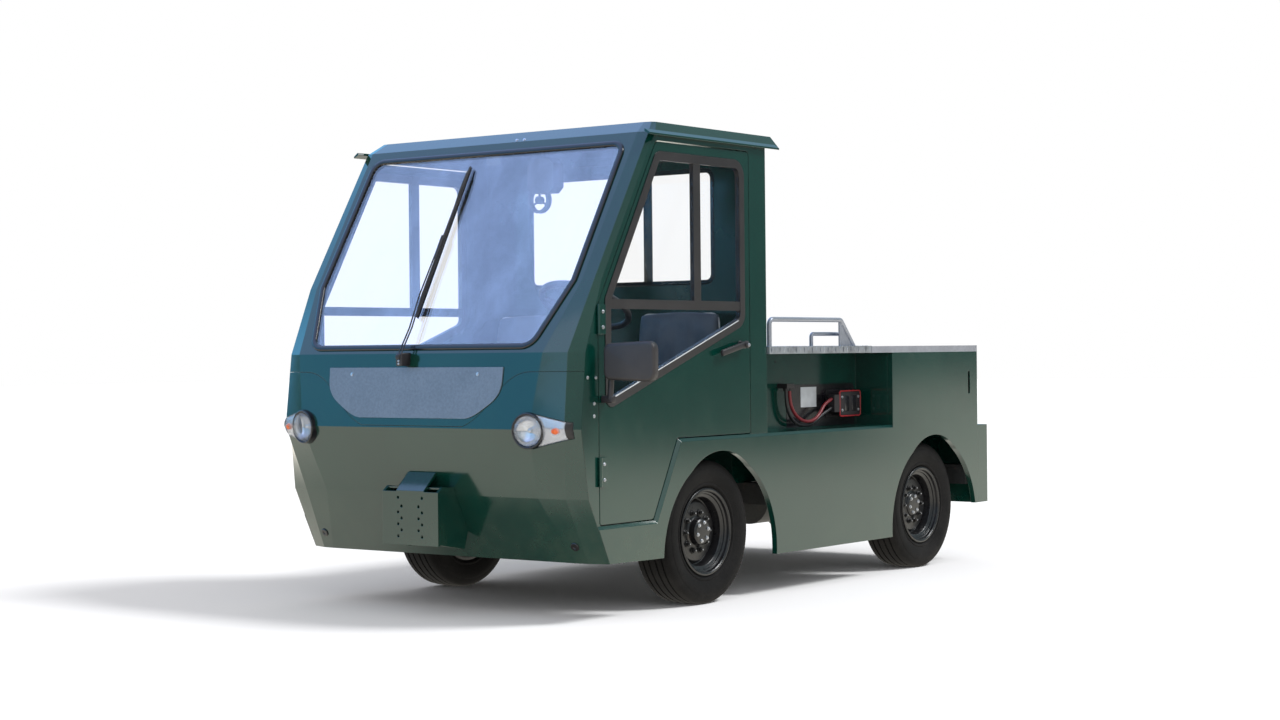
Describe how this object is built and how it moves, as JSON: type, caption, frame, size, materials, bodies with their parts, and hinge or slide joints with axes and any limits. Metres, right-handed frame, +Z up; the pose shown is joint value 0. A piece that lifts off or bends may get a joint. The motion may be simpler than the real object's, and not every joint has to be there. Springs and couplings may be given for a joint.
{
  "type": "electric airport baggage tug with a two-door cab",
  "caption": "Electric baggage tug with a raked cab, hinged doors, steered front wheels, open service recesses, hinged battery cover, front tow plate and rear hitch.",
  "frame": {"origin": "on the ground, on the centreline, under the middle of the front axle", "axes": "+X to the driver's left, +Y to the rear, +Z up; the tug drives towards -Y"},
  "size_m": [1.9546, 3.691, 2.08],
  "materials": {
    "green": "gloss",
    "plate_grey": "satin",
    "black_rubber": "satin",
    "glass": "clear",
    "tyre": "matt",
    "rim_black": "gloss",
    "chassis_black": "satin",
    "lamp": "polished",
    "black_plastic": "fine grain",
    "seat_vinyl": "satin",
    "floor_grey": "satin",
    "cable_red": "satin",
    "cable_black": "satin",
    "deck_grey": "satin"
  },
  "bodies": {
    "root": {"cab_front": "green", "nose_panel": "green", "cab_side_left": "green", "cab_side_right": "green", "cab_rear": "green", "roof": "green", "side_panel_left": "green", "side_panel_right": "green", "rear_body": "green", "tow_plate": "green", "rear_bumper": "green", "nose_plate": "plate_grey", "windscreen_gasket": "black_rubber", "rear_window_gasket": "black_rubber", "windscreen_glass": "glass", "rear_window_glass": "glass", "chassis_frame": "chassis_black", "front_axle": "chassis_black", "rear_axle": "chassis_black", "rear_hitch": "chassis_black", "headlamp_left": "lamp", "headlamp_right": "lamp", "wiper": "black_plastic", "dash": "black_plastic", "steering_column": "black_plastic", "battery_connector": "black_plastic", "battery_block": "black_plastic", "cab_fan": "black_plastic", "cable_gland": "black_plastic", "cable_red": "cable_red", "cable_black": "cable_black", "seat_cushion_left": "seat_vinyl", "seat_cushion_right": "seat_vinyl", "seat_back_left": "seat_vinyl", "seat_back_right": "seat_vinyl", "cab_floor": "floor_grey", "rear_lid": "deck_grey"},
    "door_left": {"door_left": "green", "door_window_frame_left": "black_rubber", "door_glass_left": "glass", "door_mirror": "black_plastic"},
    "door_right": {"door_right": "green", "door_window_frame_right": "black_rubber", "door_glass_right": "glass"},
    "steering_wheel": {"steering_wheel": "black_plastic"},
    "knuckle_left": {"knuckle_left": "chassis_black"},
    "knuckle_right": {"knuckle_right": "chassis_black"},
    "tie_rod": {"tie_rod": "chassis_black"},
    "battery_cover": {"battery_cover": "deck_grey", "grab_rail_left": "deck_grey", "grab_rail_right": "deck_grey"},
    "wheel_front_left": {"tyre_front_left": "tyre", "wheel_front_left": "rim_black"},
    "wheel_front_right": {"tyre_front_right": "tyre", "wheel_front_right": "rim_black"},
    "wheel_rear_left": {"tyre_rear_left": "tyre", "wheel_rear_left": "rim_black"},
    "wheel_rear_right": {"tyre_rear_right": "tyre", "wheel_rear_right": "rim_black"}
  },
  "joints": [
    {"name": "door_left_hinge", "type": "hinge", "parent": "root", "child": "door_left", "pos_m": [0.834, -0.836, 0.9], "axis": [0, 0, -1], "range_deg": [0, 75]},
    {"name": "door_right_hinge", "type": "hinge", "parent": "root", "child": "door_right", "pos_m": [-0.834, -0.836, 0.9], "axis": [0, 0, 1], "range_deg": [0, 75]},
    {"name": "battery_cover_hinge", "type": "hinge", "parent": "root", "child": "battery_cover", "pos_m": [0, 1.315, 1.124], "axis": [-1, 0, 0], "range_deg": [0, 75]},
    {"name": "steer_left", "type": "hinge", "parent": "root", "child": "knuckle_left", "pos_m": [0.545, 0, 0.316], "axis": [0, 0, 1], "range_deg": [-30, 30]},
    {"name": "steer_right", "type": "hinge", "parent": "root", "child": "knuckle_right", "pos_m": [-0.545, 0, 0.316], "axis": [0, 0, 1], "range_deg": [-30, 30]},
    {"name": "tie_rod_pivot", "type": "hinge", "parent": "knuckle_left", "child": "tie_rod", "pos_m": [0.545, 0.165, 0.221], "axis": [0, 0, 1], "range_deg": [-30, 30]},
    {"name": "steering_wheel_turn", "type": "hinge", "parent": "root", "child": "steering_wheel", "pos_m": [0.43, -0.41, 1.308], "axis": [0, 0.4695, 0.8829], "range_deg": [-360, 360]},
    {"name": "spin_front_left", "type": "hinge", "parent": "knuckle_left", "child": "wheel_front_left", "pos_m": [0.69, 0, 0.316], "axis": [1, 0, 0], "continuous": true},
    {"name": "spin_front_right", "type": "hinge", "parent": "knuckle_right", "child": "wheel_front_right", "pos_m": [-0.69, 0, 0.316], "axis": [1, 0, 0], "continuous": true},
    {"name": "spin_rear_left", "type": "hinge", "parent": "root", "child": "wheel_rear_left", "pos_m": [0.69, 1.905, 0.316], "axis": [1, 0, 0], "continuous": true},
    {"name": "spin_rear_right", "type": "hinge", "parent": "root", "child": "wheel_rear_right", "pos_m": [-0.69, 1.905, 0.316], "axis": [1, 0, 0], "continuous": true}
  ],
  "couplings": [
    {"joint": "steer_right", "follows": "steer_left", "ratio": 1},
    {"joint": "tie_rod_pivot", "follows": "steer_left", "ratio": -1},
    {"joint": "steering_wheel_turn", "follows": "steer_left", "ratio": 12}
  ]
}
